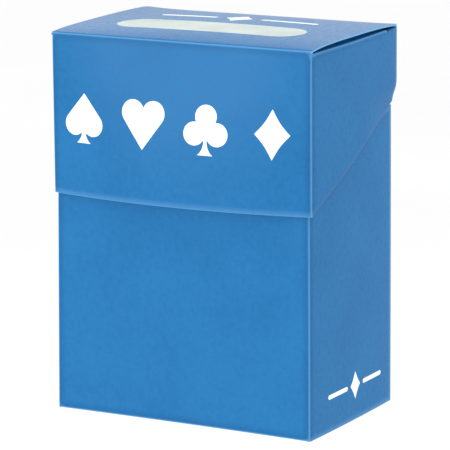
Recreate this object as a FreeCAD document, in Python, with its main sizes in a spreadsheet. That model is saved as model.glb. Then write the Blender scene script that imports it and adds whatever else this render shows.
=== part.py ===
"""Flip-top card deck box folded from thin plastic sheet, with one loose card divider.

The box and its lid are one die-cut sheet. Every panel, flap, crease and glue line of it is a
sub-part of its own here, and a thin web left in the back of the sheet is the lid's hinge.
Millimetres. X is across the front, +Y points to the back, +Z is up. The origin is the middle
of the footprint, on the surface that the box stands on.
"""
import FreeCAD, Part
import math
import os
import re

import Sketcher
from FreeCAD import Placement, Rotation, Vector

SIZES = [
    ("film", "0.5", "thickness of the plastic sheet"),
    ("bend", "0.8", "outside radius of a crease"),
    ("back_bend", "1.0", "outside radius of the soft creases at the back corners"),
    ("glue", "0.1", "thickness of a glue line"),
    ("ink", "0.05", "thickness of a printed mark"),
    ("slack", "0.3", "clearance between the lid and the body"),
    ("play", "0.05", "air between two flaps that lie on each other"),
    ("width", "71.2", "outside width of the body"),
    ("depth", "46.8", "outside depth of the body"),
    ("top", "97", "top face of the closed lid"),
    ("hinge_level", "76.8", "height of the hinge line"),
    ("hinge_web", "0.25", "thickness left in the hinge line"),
    ("hinge_half", "0.4", "half the height of the thinned hinge line"),
    ("lid_edge", "56.1", "lower edge of the lid's front"),
    ("front_rim", "68", "upper edge of the body's front"),
    ("side_rim", "77", "upper edge of the body's sides at the back"),
    ("side_foot", "0.1", "lower edge of the body's sides"),
    ("edge_bow", "4.2", "how far the lid's front bows out at its lower edge"),
    ("middle_bow", "3.0", "how far it bows out halfway up"),
    ("crease_bow", "0.3", "how far a front panel bows out beside its crease"),
    ("rim_bow", "1.6", "how far the body's front bows out at its rim"),
    ("lean", "1.3", "how far the lid's back stands out behind the hinge line"),
    ("lean_level", "86", "height at which the lid's back is upright again"),
    ("setback", "1.6", "distance of a body side's free edge from the back"),
    ("lid_setback", "2.1", "distance of a lid side's free edge from the lid's back"),
    ("roof_gap", "0.2", "air between the lid's top and its dust flaps"),
    ("dust_setback", "8.5", "distance of the dust flaps from the lid's back"),
    ("flap_reach", "20", "how far the bottom and dust flaps reach inwards"),
    ("flap_corner", "5", "corner radius of the flaps"),
    ("back_flap_reach", "19", "how far the lid's back flaps reach forwards"),
    ("back_flap_foot", "79.5", "lower edge of the lid's back flaps"),
    ("glue_width", "9", "width of a glue line"),
    ("glue_foot", "4", "lower edge of the body's glue lines"),
    ("divider_width", "64", "width of the card divider"),
    ("divider_height", "89", "height of the card divider"),
    ("divider_foot", "1.2", "height of the divider's lower edge"),
    ("divider_gap", "0.3", "air behind the divider"),
    ("divider_corner", "3", "corner radius of the divider"),
    ("suit_height", "12.5", "height of a card suit on the lid's front"),
    ("suit_level", "76", "height of the middle of the card suits"),
    ("suit_pitch", "17.6", "distance between two card suits"),
    ("bar_length", "52", "length of the write-on bar"),
    ("bar_width", "12", "width of the write-on bar"),
    ("bar_place", "-7.8", "middle of the write-on bar along Y"),
    ("rule_length", "50", "length of the ornament behind the write-on bar"),
    ("rule_place", "7.2", "middle of that ornament along Y"),
    ("side_rule_length", "32", "length of the ornament on the body's side"),
    ("side_rule_place", "0.7", "middle of that ornament along Y"),
    ("side_rule_level", "9", "middle of that ornament along Z"),
]
ALIASES = {alias for alias, _, _ in SIZES}

# Sides of the object: the name of each twin and its sign along X.
SIDES = (("left", -1), ("right", 1))

# A quarter of a cylinder starts at the first of these directions, towards the second, and the
# third is its axis.
QUARTERS = {
    "X": Rotation(Vector(0, 1, 0), Vector(0, 0, 1), Vector(1, 0, 0), "XYZ"),
    "Y": Rotation(Vector(0, 0, 1), Vector(1, 0, 0), Vector(0, 1, 0), "XYZ"),
    "Z": Rotation(Vector(1, 0, 0), Vector(0, 1, 0), Vector(0, 0, 1), "XYZ"),
}
# The way a printed face looks: across the mark, up the mark, and out of the face.
FACINGS = {
    "front": Rotation(Vector(1, 0, 0), Vector(0, 0, 1), Vector(0, -1, 0), "XYZ"),
    "right": Rotation(Vector(0, 1, 0), Vector(0, 0, 1), Vector(1, 0, 0), "XYZ"),
    "top": Rotation(Vector(1, 0, 0), Vector(0, 1, 0), Vector(0, 0, 1), "XYZ"),
}

# Places that several pieces share, as formulas of the sizes above.
PLY = "(film + glue)"
FRONT = "(-depth / 2)"
BACK = "(depth / 2)"
WALL = "(width / 2)"
INNER_WALL = f"({WALL} - {PLY})"
FREE_EDGE = f"({BACK} - setback)"
FLAP_LEVEL = "(film + play)"
LINER_FOOT = f"({FLAP_LEVEL} + bend)"
LINER_FRONT = f"({FRONT} + 3 * bend)"
LINER_BACK = f"({BACK} - back_bend)"
FLAP_BACK = f"({BACK} - 3 * bend)"
LID_WALL = f"({WALL} + slack + film)"
LID_INNER_WALL = f"({LID_WALL} - {PLY})"
LID_FRONT = f"({FRONT} - slack - film)"
LID_BACK = f"({BACK} + lean)"
BACK_RIM = "(hinge_level - hinge_half)"
LID_CREASE = "(top - bend)"
DUST_LEVEL = "(top - 2 * film - roof_gap)"
LID_SIDE_TOP = f"({DUST_LEVEL} + film - bend)"
LID_FLAP_TOP = f"({LID_SIDE_TOP} - slack)"

document = FreeCAD.newDocument("card_deck_box")
sizes = document.addObject("Spreadsheet::Sheet", "sizes")
for row, (alias, value, meaning) in enumerate(SIZES, start=1):
    sizes.set(f"A{row}", meaning)
    sizes.set(f"B{row}", value)
    sizes.setAlias(f"B{row}", alias)
document.recompute()

nodes = []


def size(alias):
    """The number in the sheet's cell of this alias."""
    return float(sizes.get(alias))


def bound(formula):
    """The formula with each alias pointing at its cell in the sheet."""
    return re.sub(r"[a-z_]+", lambda word: cell(word.group(0)), formula)


def cell(word):
    return f"sizes.{word}" if word in ALIASES else word


def add_node(thing, label):
    """Keep this object as a sub-part under its own label."""
    thing.Label = label
    nodes.append(thing)
    return thing


# ---------------------------------------------------------------- sketches and plates

def new_sketch(body, plane, level):
    """A sketch on one of the body's own origin planes, lifted along its normal."""
    sketch = body.newObject("Sketcher::SketchObject", body.Name + "_outline")
    planes = [part for part in body.Origin.OriginFeatures if part.Role == plane]
    sketch.AttachmentSupport = [(planes[0], "")]
    sketch.MapMode = "FlatFace"
    sketch.setExpression("AttachmentOffset.Base.z", bound(level))
    return sketch


def pin(sketch, edge, end, across, upward):
    """Fix one end of an edge by its two distances from the sketch's origin."""
    spot = sketch.getPoint(edge, end)
    for kind, drawn, formula in (("DistanceX", spot.x, across), ("DistanceY", spot.y, upward)):
        constraint = Sketcher.Constraint(kind, -1, 1, edge, end, drawn)
        number = sketch.addConstraint(constraint)
        sketch.setExpression(f"Constraints[{number}]", bound(formula))


def join(sketch, ends):
    """Make pairs of edge ends meet: (edge, its end, other edge, its end)."""
    for first, first_end, second, second_end in ends:
        constraint = Sketcher.Constraint("Coincident", first, first_end, second, second_end)
        sketch.addConstraint(constraint)


def polygon(sketch, corners):
    """Close a ring of lines through the corners, each given as two formulas."""
    count = len(corners)
    turn = Rotation(Vector(0, 0, 1), 360 / count)
    spots = [Vector(size("depth"), 0, 0)]
    for _ in range(count):
        spots.append(turn.multVec(spots[-1]))
    for start, end in zip(spots, spots[1:]):
        sketch.addGeometry(Part.LineSegment(start, end), False)
    join(sketch, [(index, 2, (index + 1) % count, 1) for index in range(count)])
    for index, (across, upward) in enumerate(corners):
        pin(sketch, index, 1, across, upward)


def rectangle(left, right, low, high):
    return [(left, low), (right, low), (right, high), (left, high)]


def corner_edges(pad, sketch, corners, thickness):
    """Names of the edges through the sheet's thickness at the given corners."""
    spots = [sketch.Placement.multVec(sketch.getPoint(corner, 1)) for corner in corners]
    names = []
    for number, edge in enumerate(pad.Shape.Edges, start=1):
        through = abs(edge.Length - thickness) < 1e-6
        if through and any(edge.distToShape(Part.Vertex(spot))[0] < 1e-4 for spot in spots):
            names.append(f"Edge{number}")
    return names


def plate(label, plane, level, corners, thickness="film", rounded=(), radius="flap_corner"):
    """A flat piece of sheet: its outline on an origin plane, padded by its thickness.

    From its level an XY plate grows upwards, a YZ plate to the right and an XZ plate, whose
    level counts towards the front, to the front.
    """
    body = add_node(document.addObject("PartDesign::Body", label), label)
    sketch = new_sketch(body, plane, level)
    polygon(sketch, corners)
    pad = body.newObject("PartDesign::Pad", label + "_pad")
    pad.Profile = sketch
    pad.setExpression("Length", bound(thickness))
    if rounded:
        document.recompute()
        fillet = body.newObject("PartDesign::Fillet", label + "_corners")
        fillet.Base = (pad, corner_edges(pad, sketch, rounded, size(thickness)))
        fillet.setExpression("Radius", bound(radius))


def wall(label, sign, outside, corners, **options):
    """An upright side plate whose outer face lies this far from the middle."""
    thickness = options.get("thickness", "film")
    level = f"{outside} - {thickness}" if sign > 0 else f"-{outside}"
    plate(label, "YZ_Plane", level, corners, **options)


def bow_outline(sketch, half_width, back, thickness, bow):
    """A strip of sheet seen from above that bows towards the front halfway across."""
    half = size("width") / 2
    front = -size("depth") / 2
    inner_ends = Vector(-half, front, 0), Vector(half, front, 0)
    outer_ends = Vector(-half, front - 1, 0), Vector(half, front - 1, 0)
    peaks = []
    for start, end in (inner_ends, outer_ends):
        peaks.append((start + end) / 2 - Vector(0, size(bow), 0))
        sketch.addGeometry(Part.Arc(start, peaks[-1], end), False)
    for start, end in zip(inner_ends, outer_ends):
        sketch.addGeometry(Part.LineSegment(start, end), False)
    join(sketch, [(0, 1, 2, 1), (1, 1, 2, 2), (0, 2, 3, 1), (1, 2, 3, 2)])
    for arc, place in ((0, back), (1, f"{back} - {thickness}")):
        peak = sketch.addGeometry(Part.Point(peaks[arc]), True)
        sketch.addConstraint(Sketcher.Constraint("PointOnObject", peak, 1, arc))
        pin(sketch, arc, 1, f"-{half_width}", place)
        pin(sketch, arc, 2, half_width, place)
        pin(sketch, peak, 1, "0", f"{place} - {bow}")


def bowed_plate(label, half_width, back, sections, thickness="film"):
    """An upright sheet whose bow changes with height, lofted through (level, bow) sections."""
    body = document.addObject("PartDesign::Body", label)
    sketches = []
    for level, bow in sections:
        sketch = new_sketch(body, "XY_Plane", level)
        bow_outline(sketch, half_width, back, thickness, bow)
        sketches.append(sketch)
    document.recompute()
    loft = body.newObject("PartDesign::AdditiveLoft", label + "_loft")
    loft.Profile = sketches[0]
    loft.Sections = sketches[1:]
    return body


def crease(label, axis, turn, centre, length, radius="bend"):
    """A quarter of a tube between two panels along a row axis, after so many quarter turns."""
    rotation = QUARTERS[axis].multiply(Rotation(Vector(0, 0, 1), 90 * turn))
    quarters = []
    for name, reach in (("_outside", radius), ("_inside", f"{radius} - film")):
        quarter = document.addObject("Part::Cylinder", label + name)
        quarter.Angle = 90
        quarter.Placement = Placement(Vector(), rotation)
        quarter.setExpression("Radius", bound(reach))
        quarter.setExpression("Height", bound(length))
        for letter, formula in zip("xyz", centre):
            quarter.setExpression(f"Placement.Base.{letter}", bound(formula))
        quarters.append(quarter)
    fold = add_node(document.addObject("Part::Cut", label), label)
    fold.Base, fold.Tool = quarters


# ---------------------------------------------------------------- body of the box

def side_slope(place):
    """Height of the body's sloping side rim at this place along Y."""
    return f"(front_rim + (side_rim - front_rim) * ({place} - {FRONT}) / depth)"


def build_body_shell():
    half_front = f"({WALL} - bend)"
    front = bowed_plate(
        "front_panel", half_front, f"{FRONT} + film",
        [("bend", "crease_bow"), ("front_rim", "rim_bow")],
    )
    add_node(front, "front_panel")
    half_back = f"({INNER_WALL} - back_bend)"
    plate(
        "back_panel", "XZ_Plane", f"-{BACK}",
        rectangle(f"-{half_back}", half_back, "bend", BACK_RIM),
    )
    plate(
        "bottom_panel", "XY_Plane", "0",
        rectangle(f"-{INNER_WALL}", INNER_WALL, f"{FRONT} + bend", f"{BACK} - bend"),
    )
    across = f"2 * {INNER_WALL}"
    crease("bottom_front_fold", "X", 2, (f"-{INNER_WALL}", f"{FRONT} + bend", "bend"), across)
    crease("bottom_back_fold", "X", 3, (f"-{INNER_WALL}", f"{BACK} - bend", "bend"), across)
    plate(
        "lid_hinge_web", "YZ_Plane", f"-{half_back}",
        rectangle(f"{BACK} - hinge_web", BACK, BACK_RIM, "hinge_level + hinge_half"),
        thickness=f"2 * {half_back}",
    )


def build_body_side(side, sign):
    front = f"({FRONT} + bend)"
    wall(
        f"{side}_side_panel", sign, WALL,
        [(front, "side_foot"), (FREE_EDGE, "side_foot"), (FREE_EDGE, side_slope(FREE_EDGE)),
         (front, side_slope(front))],
    )
    wall(
        f"{side}_side_liner", sign, INNER_WALL,
        [(LINER_FRONT, LINER_FOOT), (LINER_BACK, LINER_FOOT),
         (LINER_BACK, f"{side_slope(LINER_BACK)} - film"),
         (LINER_FRONT, f"{side_slope(LINER_FRONT)} - film")],
    )
    fold_line = f"{sign} * ({INNER_WALL} - bend)"
    flap_end = f"{sign} * ({INNER_WALL} - flap_reach)"
    plate(
        f"{side}_bottom_flap", "XY_Plane", FLAP_LEVEL,
        rectangle(fold_line, flap_end, LINER_FRONT, FLAP_BACK), rounded=(1, 2),
    )
    crease(
        f"{side}_flap_fold", "Y", 1 if sign > 0 else 2,
        (fold_line, LINER_FRONT, LINER_FOOT), f"{FLAP_BACK} - {LINER_FRONT}",
    )
    crease(
        f"front_{side}_fold", "Z", 3 if sign > 0 else 2,
        (f"{sign} * ({WALL} - bend)", front, "bend"), "front_rim - bend",
    )
    crease(
        f"back_{side}_fold", "Z", 0 if sign > 0 else 1,
        (f"{sign} * ({INNER_WALL} - back_bend)", LINER_BACK, LINER_FOOT),
        f"{BACK_RIM} - {LINER_FOOT}", radius="back_bend",
    )
    glue_front = f"({FREE_EDGE} - glue_width)"
    wall(
        f"{side}_glue_strip", sign, f"({WALL} - film)",
        rectangle(glue_front, FREE_EDGE, "glue_foot", f"{side_slope(glue_front)} - film"),
        thickness="glue",
    )


# ---------------------------------------------------------------- lid

def lid_slope(place):
    """Height of the lid's slanted side edge at this place along Y."""
    return f"(lid_edge + (hinge_level - lid_edge) * ({place} - {FRONT}) / depth)"


def lid_bow_sections():
    middle = f"(lid_edge + {LID_CREASE}) / 2"
    return [("lid_edge", "edge_bow"), (middle, "middle_bow"), (LID_CREASE, "crease_bow")]


def build_lid_shell():
    half_front = f"({LID_WALL} - bend)"
    front = bowed_plate(
        "lid_front_panel", half_front, f"{LID_FRONT} + film", lid_bow_sections()
    )
    add_node(front, "lid_front_panel")
    plate(
        "lid_top_panel", "XY_Plane", "top - film",
        rectangle(f"-{LID_WALL}", LID_WALL, f"{LID_FRONT} + bend", f"{LID_BACK} - bend"),
    )
    across = f"2 * {LID_WALL}"
    crease(
        "lid_top_front_fold", "X", 1,
        (f"-{LID_WALL}", f"{LID_FRONT} + bend", LID_CREASE), across,
    )
    crease(
        "lid_top_back_fold", "X", 0,
        (f"-{LID_WALL}", f"{LID_BACK} - bend", LID_CREASE), across,
    )
    half_back = f"({LID_INNER_WALL} - back_bend)"
    foot = "hinge_level + hinge_half"
    plate(
        "lid_back_panel", "YZ_Plane", f"-{half_back}",
        [(BACK, foot), (LID_BACK, "lean_level"), (LID_BACK, LID_CREASE),
         (f"{LID_BACK} - film", LID_CREASE), (f"{LID_BACK} - film", "lean_level"),
         (f"{BACK} - film", foot)],
        thickness=f"2 * {half_back}",
    )


def build_lid_side(side, sign):
    front = f"({LID_FRONT} + bend)"
    foot_edge = f"({BACK} - lid_setback)"
    free_edge = f"({LID_BACK} - lid_setback)"
    wall(
        f"lid_{side}_side_panel", sign, LID_WALL,
        [(front, "lid_edge"), (foot_edge, lid_slope(foot_edge)), (free_edge, "lean_level"),
         (free_edge, LID_SIDE_TOP), (front, LID_SIDE_TOP)],
    )
    crease(
        f"lid_front_{side}_fold", "Z", 3 if sign > 0 else 2,
        (f"{sign} * ({LID_WALL} - bend)", front, "lid_edge"), f"{LID_SIDE_TOP} - lid_edge",
    )
    dust_front = f"({LID_FRONT} + bend)"
    dust_back = f"({LID_BACK} - dust_setback)"
    fold_line = f"{sign} * ({LID_WALL} - bend)"
    flap_end = f"{sign} * ({LID_WALL} - flap_reach)"
    plate(
        f"lid_{side}_dust_flap", "XY_Plane", DUST_LEVEL,
        rectangle(fold_line, flap_end, dust_front, dust_back), rounded=(1, 2),
    )
    crease(
        f"lid_{side}_dust_fold", "Y", 0 if sign > 0 else 3,
        (fold_line, dust_front, LID_SIDE_TOP), f"{dust_back} - {dust_front}",
    )
    flap_front = f"({LID_BACK} - back_flap_reach)"
    flap_back = f"({LID_BACK} - back_bend)"
    wall(
        f"lid_{side}_back_flap", sign, LID_INNER_WALL,
        [(flap_front, "back_flap_foot"), (f"{BACK} - back_bend", "back_flap_foot"),
         (flap_back, "lean_level"), (flap_back, LID_FLAP_TOP), (flap_front, LID_FLAP_TOP)],
        rounded=(0,),
    )
    crease(
        f"lid_back_{side}_fold", "Z", 0 if sign > 0 else 1,
        (f"{sign} * ({LID_INNER_WALL} - back_bend)", flap_back, "lean_level"),
        f"{LID_FLAP_TOP} - lean_level", radius="back_bend",
    )
    wall(
        f"lid_{side}_glue_strip", sign, f"({LID_WALL} - film)",
        rectangle(f"{FREE_EDGE} - glue_width", FREE_EDGE, "back_flap_foot + film",
                  f"{LID_FLAP_TOP} - film"),
        thickness="glue",
    )


# ---------------------------------------------------------------- loose divider

def build_divider():
    plate(
        "card_divider", "XZ_Plane", f"-({BACK} - film - divider_gap)",
        rectangle("-divider_width / 2", "divider_width / 2",
                  "divider_foot", "divider_foot + divider_height"),
        rounded=(0, 1, 2, 3), radius="divider_corner",
    )


# ---------------------------------------------------------------- printed marks

def on_circle(centre, radius, degrees):
    angle = math.radians(degrees)
    return Vector(centre.x + radius * math.cos(angle), centre.y + radius * math.sin(angle), 0)


def tangent_degrees(centre, radius, tip):
    """Where the line from a tip above or below touches the far side of a circle."""
    reach = tip - centre
    towards = math.degrees(math.atan2(reach.y, reach.x))
    opening = math.degrees(math.acos(radius / reach.Length))
    return towards + opening if reach.y < 0 else towards - opening


def both_halves(half):
    """An outline from its right half, as edges of two points (line) or three (arc)."""
    mirrored = [[Vector(-spot.x, spot.y, 0) for spot in reversed(edge)] for edge in half]
    return half + mirrored


def lobe(centre, radius, start, end):
    """An arc of a circle between two angles in degrees."""
    return [on_circle(centre, radius, angle) for angle in (start, (start + end) / 2, end)]


def stem(top):
    """The right half of a suit's foot, from the underside of its lobe down."""
    foot = Vector(0.17, -0.5, 0)
    waist = Vector(0.075, -0.36, 0)
    return [[top, waist, foot], [foot, Vector(0, -0.5, 0)]]


def diamond():
    tip, flank = Vector(0, 0.5, 0), Vector(0.37, 0, 0)
    foot = Vector(0, -0.5, 0)
    return both_halves([[tip, flank], [flank, foot]])


def heart():
    centre, radius = Vector(0.235, 0.23, 0), 0.255
    tip = Vector(0, -0.5, 0)
    notch_angle = math.degrees(math.acos(-centre.x / radius))
    touch = tangent_degrees(centre, radius, tip)
    arc = lobe(centre, radius, touch, notch_angle)
    return both_halves([[tip, arc[0]], arc])


def spade():
    centre, radius = Vector(0.22, -0.12, 0), 0.235
    tip = Vector(0, 0.5, 0)
    touch = tangent_degrees(centre, radius, tip)
    root_angle = -math.degrees(math.acos((0.035 - centre.x) / radius))
    arc = lobe(centre, radius, touch, root_angle)
    return both_halves([[tip, arc[0]], arc] + stem(arc[-1]))


def club():
    crown, side, radius = Vector(0, 0.265, 0), Vector(0.245, -0.08, 0), 0.235
    apart = side - crown
    half_angle = math.degrees(math.acos(apart.Length / 2 / radius))
    towards = math.degrees(math.atan2(apart.y, apart.x))
    crown_arc = lobe(crown, radius, 90, towards + half_angle)
    root_angle = -math.degrees(math.acos((0.035 - side.x) / radius))
    side_arc = lobe(side, radius, towards + 180 - half_angle, root_angle)
    return both_halves([crown_arc, side_arc] + stem(side_arc[-1]))


def pill(length, width):
    half, radius = (length - width) / 2, width / 2
    centre = Vector(half, 0, 0)
    cap = lobe(centre, radius, 90, -90)
    top, bottom = Vector(0, radius, 0), Vector(0, -radius, 0)
    return both_halves([[top, cap[0]], cap, [cap[-1], bottom]])


def ornament(length, height):
    """A diamond between two thin rules, as a list of outlines."""
    gap = 0.05 * length
    rule_length = 0.32 * length
    rule_height = 0.16 * height
    half_diamond = 0.37 * height
    shift = half_diamond + gap + rule_length / 2
    rule = pill(rule_length, rule_height)
    return [placed(diamond(), height), placed(rule, 1, -shift), placed(rule, 1, shift)]


def placed(outline, scale, across=0.0):
    """The outline at this scale, moved across its face."""
    return [[spot * scale + Vector(across, 0, 0) for spot in edge] for edge in outline]


def anticlockwise(spots):
    first, second = spots[1] - spots[0], spots[2] - spots[1]
    return spots if first.cross(second).z > 0 else spots[::-1]


def mark_blank(label, facing, place, outlines, length):
    """Outlines on a printed face, extruded out of the face."""
    sketch = document.addObject("Sketcher::SketchObject", label + "_outline")
    sketch.Placement = Placement(Vector(), FACINGS[facing])
    for letter, formula in zip("xyz", place):
        sketch.setExpression(f"Placement.Base.{letter}", bound(formula))
    for outline in outlines:
        for edge in outline:
            if len(edge) == 2:
                sketch.addGeometry(Part.LineSegment(*edge), False)
            else:
                sketch.addGeometry(Part.Arc(*anticlockwise(edge)), False)
    blank = document.addObject("Part::Extrusion", label)
    blank.Base = sketch
    blank.DirMode = "Normal"
    blank.Solid = True
    blank.setExpression("LengthFwd", bound(length))
    return blank


def build_marks():
    height, pitch = size("suit_height"), size("suit_pitch")
    suits = [
        placed(suit, height, (number - 1.5) * pitch)
        for number, suit in enumerate((spade(), heart(), club(), diamond()))
    ]
    # The ink on the bowed front is the part of a thin skin that lies in the suits' outlines.
    skin = bowed_plate(
        "ink_skin", f"({LID_WALL} - bend)", LID_FRONT, lid_bow_sections(), thickness="ink"
    )
    place = ("0", LID_FRONT, "suit_level")
    blank = mark_blank("suit_blank", "front", place, suits, "2 * edge_bow")
    print_on_bow = add_node(document.addObject("Part::Common", "front_print"), "front_print")
    print_on_bow.Base = skin
    print_on_bow.Tool = blank

    bar = [pill(size("bar_length"), size("bar_width"))]
    place = ("0", "bar_place", "top")
    add_node(mark_blank("write_on_bar", "top", place, bar, "ink"), "write_on_bar")

    length = size("rule_length")
    place = ("0", "rule_place", "top")
    marks = ornament(length, 0.2 * length)
    add_node(mark_blank("top_print", "top", place, marks, "ink"), "top_print")

    length = size("side_rule_length")
    place = (WALL, "side_rule_place", "side_rule_level")
    marks = ornament(length, 0.22 * length)
    add_node(mark_blank("side_print", "right", place, marks, "ink"), "side_print")


# ---------------------------------------------------------------- build, check and write

build_body_shell()
build_lid_shell()
for side, sign in SIDES:
    build_body_side(side, sign)
    build_lid_side(side, sign)
build_divider()
build_marks()
document.recompute()

failed = [thing.Name for thing in document.Objects if {"Invalid", "Error"} & set(thing.State)]
if failed:
    raise RuntimeError(f"these objects failed: {failed}")
for node in nodes:
    if node.Shape.isNull() or not node.Shape.isValid() or not node.Shape.Solids:
        raise RuntimeError(f"{node.Label} has no valid solid")

os.makedirs("parts", exist_ok=True)
for node in nodes:
    node.Shape.exportStep(f"parts/{node.Label}.step")
    box = node.Shape.BoundBox
    print(f"{node.Label:24s} {node.Shape.Volume:9.2f} mm3  solids {len(node.Shape.Solids)}"
          f"  x {box.XMin:7.2f} {box.XMax:7.2f}  y {box.YMin:7.2f} {box.YMax:7.2f}"
          f"  z {box.ZMin:6.2f} {box.ZMax:6.2f}")
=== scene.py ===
"""Looks of a flip-top card deck box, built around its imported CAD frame.

Lengths are in millimetres until a mesh is made. X is across the front, +Y points to the back and
+Z is up, as in the frame. Each piece is first laid out flat, in the place of its CAD node. It is
then settled: the lid's front bows, its top domes, its back leans, and the sides splay and belly
out a little, as thin folded sheet does. Both faces of a piece are settled alike and joined all
round, so it stays closed.
"""

import math

import bmesh
import bpy
import numpy as np
from mathutils import Matrix, Vector


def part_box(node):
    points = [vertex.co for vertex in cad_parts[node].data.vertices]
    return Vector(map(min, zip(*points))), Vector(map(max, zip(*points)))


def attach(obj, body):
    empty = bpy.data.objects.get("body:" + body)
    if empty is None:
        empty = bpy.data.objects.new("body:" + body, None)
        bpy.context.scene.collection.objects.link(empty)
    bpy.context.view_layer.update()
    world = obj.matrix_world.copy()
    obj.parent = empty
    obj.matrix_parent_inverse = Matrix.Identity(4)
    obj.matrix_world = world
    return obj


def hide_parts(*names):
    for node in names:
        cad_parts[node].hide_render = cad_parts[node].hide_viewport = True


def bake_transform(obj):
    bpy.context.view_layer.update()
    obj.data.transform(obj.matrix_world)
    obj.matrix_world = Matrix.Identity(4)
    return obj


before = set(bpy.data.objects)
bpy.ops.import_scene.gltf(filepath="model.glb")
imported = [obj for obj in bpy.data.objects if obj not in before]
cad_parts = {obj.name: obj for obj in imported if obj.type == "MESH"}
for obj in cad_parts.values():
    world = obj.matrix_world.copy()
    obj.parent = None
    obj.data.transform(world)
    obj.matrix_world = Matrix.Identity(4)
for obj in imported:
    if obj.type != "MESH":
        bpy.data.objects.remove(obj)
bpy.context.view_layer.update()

MM = 0.001


# ---------------------------------------------------------------- sizes taken from the frame


def span(node):
    """Lowest and highest corner of a CAD node, in millimetres."""
    low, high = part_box(node)
    return np.array(low) / MM, np.array(high) / MM


SPAN = {node: span(node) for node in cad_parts}
X, Y, Z = 0, 1, 2


def low(node, axis):
    return float(SPAN[node][0][axis])


def high(node, axis):
    return float(SPAN[node][1][axis])


def extent(node, axis):
    return high(node, axis) - low(node, axis)


def middle(node, axis):
    return (low(node, axis) + high(node, axis)) / 2


FILM = extent("bottom_panel", Z)
BEND = high("bottom_front_fold", Z)  # outside radius of a crease
BACK_BEND = extent("back_right_fold", X)  # and of the upright creases at the back
WALL = high("right_side_panel", X)
INNER_WALL = high("right_side_liner", X)
GLUE = WALL - FILM - INNER_WALL
FRONT = low("bottom_front_fold", Y)
BACK = high("back_panel", Y)
DEPTH = BACK - FRONT
FREE_EDGE = high("right_side_panel", Y)
SIDE_FOOT = low("right_side_panel", Z)
FRONT_RIM = high("front_panel", Z)
FLAP_LEVEL = low("right_bottom_flap", Z)
LINER_FOOT = low("right_side_liner", Z)
LINER_FRONT = low("right_side_liner", Y)
HINGE_LOW = low("lid_hinge_web", Z)
HINGE_HIGH = high("lid_hinge_web", Z)
HINGE_LEVEL = middle("lid_hinge_web", Z)
HINGE_FILM = BACK - low("lid_hinge_web", Y)

LID_WALL = high("lid_right_side_panel", X)
LID_INNER_WALL = high("lid_right_back_flap", X)
LID_FRONT = low("lid_top_front_fold", Y)
LID_BACK = high("lid_top_back_fold", Y)
LEAN = LID_BACK - BACK
TOP = high("lid_top_panel", Z)
LID_EDGE = low("lid_right_side_panel", Z)
LID_CREASE = high("lid_front_panel", Z)
LID_SIDE_TOP = high("lid_right_side_panel", Z)
LID_FREE_EDGE = high("lid_right_side_panel", Y) - LEAN
DUST_TOP = high("lid_right_dust_flap", Z)
FLAP_TOP = high("lid_right_back_flap", Z)

# ---------------------------------------------------------------- how the folded sheet settles

EDGE_BOW = 4.25  # how far the lid's front bows out at its lower edge
CREASE_BOW = 0.3  # and right under its top crease
RIM_BOW, RIM_BOW_POWER = 1.6, 1.6  # how far the body's front bows out at its rim, and how late
BOW_FADE = 20.0  # length over which the bow dies away into the lid's top
REAR_FADE = 14.0  # length over which the lid's lean dies away along its sides
LEAN_LEVEL = 82.4  # above this the lid's back stands out by its full lean
TOP_LEFT, TOP_MIDDLE, TOP_RIGHT = 0.4, 0.8, 0.95  # rise of the lid's top at its edges, and dome
REAR_SAG_LEFT, REAR_SAG_MIDDLE, REAR_SAG_RIGHT = 0.0, 0.46, 0.04  # its back crease lies lower
FRONT_RAISE = 0.12  # the lid's lower edge sits a little higher than drawn
SLANT_RAISE, SLANT_CURVE = 0.4, 1.2  # so does its slanted edge, more so towards the hinge
SLANT_START, SLANT_REACH = -8.0, 18.0  # where along Y it starts to curve, and over what length
BULGE = 0.35  # the sides belly out by this much half way back
CURL, CURL_START = 0.14, 6.0  # and curl in by the first of these, over the second, at the back
SIDE_POWER = 8  # the higher, the nearer to the sides these shifts stay
PINCH_START, PINCH_POWER = 20.0, 4  # the lid narrows to the body over this length at the hinge
LEFT_PINCH = 0.25  # share of that narrowing that its left side has
SIDE_RISE_FRONT_LEFT, SIDE_RISE_FRONT_RIGHT = 0.9, 0.0  # rise of the lid's side creases
SIDE_RISE_BACK, SIDE_RISE_POWER = 0.47, 3
DUST_CLIMB_END, DUST_CLIMB = 4.0, 3.2  # inside the side creases the dust flaps climb to the roof
FOOT_DROP, FOOT_DROP_REACH = 0.5, 40.0  # the foot hangs lower at the front right corner
FOOT_DROP_POWER, FOOT_DROP_FADE = 2.5, 0.4  # less to the left, and by this share at the back
LID_LEFT_LOW, LID_LEFT_HIGH = 0.45, 0.42  # shifts along X of the lid's sides, low and high
LID_RIGHT_LOW, LID_RIGHT_HIGH = 0.58, 0.7
BODY_LEFT_LOW, BODY_LEFT_HIGH = -0.88, 0.03  # and of the body's sides
BODY_RIGHT_LOW, BODY_RIGHT_HIGH = 0.18, 0.3
TUCK = 0.5  # the body is narrower on its left where the lid laps over it
TUCK_LEAD, TUCK_REACH = 0.5, 3.0  # it starts this much under the lid's edge, over this height


def smooth(t):
    t = np.clip(t, 0.0, 1.0)
    return t * t * (3 - 2 * t)


def blend_value(a, b, t):
    return a + (b - a) * t


def outward(across, power):
    """1 at the right side, -1 at the left one, and close to 0 between them."""
    return np.sign(across) * np.abs(across) ** power


def belly(across, y):
    """How far a side bellies out, with the sign of its side."""
    back = np.clip((y - FRONT) / DEPTH, 0, 1)
    return BULGE * 4 * back * (1 - back) * outward(across, SIDE_POWER)


def curl(across, y):
    """How far a side bends in at its back edge, with the sign of its side."""
    near_back = np.clip((y - (BACK - CURL_START)) / CURL_START, 0, 1)
    return CURL * outward(across, SIDE_POWER) * near_back**2


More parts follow.
